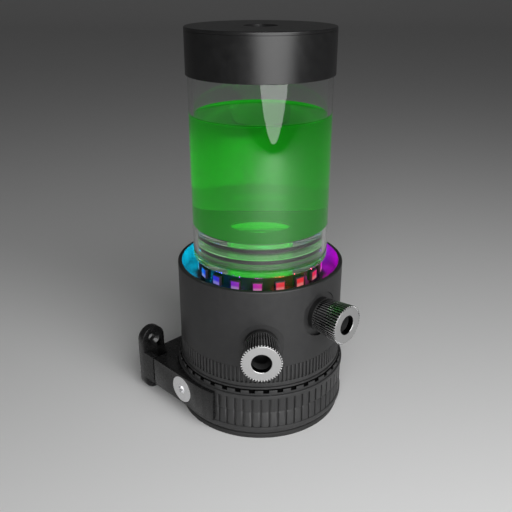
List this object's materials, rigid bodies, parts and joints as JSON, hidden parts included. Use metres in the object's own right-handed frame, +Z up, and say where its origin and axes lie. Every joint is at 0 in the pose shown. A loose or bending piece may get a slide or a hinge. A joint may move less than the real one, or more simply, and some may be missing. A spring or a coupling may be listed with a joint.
{
  "type": "coolant pump reservoir",
  "caption": "Cylindrical coolant pump with a capped glass tube of green coolant, lit rim, knurled hose fittings, fluted lock ring, ribbed sleeve and side bracket.",
  "frame": {"origin": "centre of the foot's underside, on the pump's axis", "axes": "+Z up along the pump's axis, +X along the inlet fitting, -Y out of the bracket's flat face"},
  "size_m": [0.0937, 0.0812, 0.1723],
  "materials": {
    "black_plastic": "fine satin moulding",
    "black_metal": "anodised black, satin",
    "black_rubber": "matte",
    "chrome_fitting": "polished",
    "silver_screw": "satin",
    "clear_glass": "clear",
    "clear_acrylic": "clear polished",
    "green_coolant": "translucent liquid",
    "light_white": "lit package",
    "strip_black": "solder mask",
    "stator_steel": "laminated",
    "copper_wire": "enamelled wire",
    "magnet": "sintered",
    "bearing_ceramic": "ground",
    "board_green": "solder mask",
    "contact_brass": "plated"
  },
  "bodies": {
    "base": {"foot_pad": "black_rubber", "motor_can": "black_plastic", "control_board": "board_green", "board_chips": "black_plastic", "power_socket": "black_plastic", "socket_contacts": "contact_brass", "stator_core": "stator_steel", "stator_windings": "copper_wire", "isolation_cup": "black_plastic", "bearing_pin": "bearing_ceramic", "cup_screws": "silver_screw", "damper_sleeve": "black_plastic", "ring_nut": "black_metal", "bracket_block": "black_metal", "bracket_foot": "black_metal", "foot_screw": "silver_screw", "clamp_screw": "silver_screw"},
    "rotor": {"rotor_magnet": "magnet", "rotor_bush": "bearing_ceramic", "impeller": "black_plastic"},
    "lock_ring": {"lock_ring": "black_plastic"},
    "top": {"pump_housing": "black_plastic", "flange_o_ring": "black_rubber", "light_strip": "strip_black", "lights": "light_white", "clear_base_plug": "clear_acrylic", "base_o_rings": "black_rubber", "glass_tube": "clear_glass", "coolant": "green_coolant", "inlet_fitting": "chrome_fitting", "inlet_o_ring": "black_rubber", "outlet_fitting": "chrome_fitting", "outlet_o_ring": "black_rubber"},
    "cap": {"top_cap": "black_metal", "cap_o_ring": "black_rubber"},
    "inlet_ferrule": {"inlet_ferrule": "black_plastic"},
    "inlet_collar": {"inlet_collar": "chrome_fitting"},
    "outlet_ferrule": {"outlet_ferrule": "black_plastic"},
    "outlet_collar": {"outlet_collar": "chrome_fitting"}
  },
  "joints": [
    {"name": "rotor_spin", "type": "hinge", "parent": "base", "child": "rotor", "pos_m": [0, 0, 0.02], "axis": [0, 0, 1], "continuous": true},
    {"name": "top_lift", "type": "slide", "parent": "base", "child": "top", "axis": [0, 0, 1], "range_m": [0, 0.006]},
    {"name": "lock_ring_turn", "type": "hinge", "parent": "base", "child": "lock_ring", "pos_m": [0, 0, 0.03], "axis": [0, 0, 1], "range_deg": [-1080, 0]},
    {"name": "cap_lift", "type": "slide", "parent": "top", "child": "cap", "axis": [0, 0, 1], "range_m": [0, 0.016]},
    {"name": "inlet_ferrule_slide", "type": "slide", "parent": "top", "child": "inlet_ferrule", "axis": [1, 0, 0], "range_m": [0, 0.004]},
    {"name": "inlet_collar_turn", "type": "hinge", "parent": "inlet_ferrule", "child": "inlet_collar", "pos_m": [0.045, 0, 0.057], "axis": [1, 0, 0], "range_deg": [0, 1440]},
    {"name": "outlet_ferrule_slide", "type": "slide", "parent": "top", "child": "outlet_ferrule", "axis": [0.7193, -0.6947, 0], "range_m": [0, 0.004]},
    {"name": "outlet_collar_turn", "type": "hinge", "parent": "outlet_ferrule", "child": "outlet_collar", "pos_m": [0.03237, -0.03126, 0.0475], "axis": [0.7193, -0.6947, 0], "range_deg": [0, 1440]}
  ],
  "couplings": [
    {"joint": "lock_ring_turn", "follows": "top_lift", "rad_per_m": -3141.6},
    {"joint": "inlet_collar_turn", "follows": "inlet_ferrule_slide", "rad_per_m": 6283.2},
    {"joint": "outlet_collar_turn", "follows": "outlet_ferrule_slide", "rad_per_m": 6283.2}
  ]
}
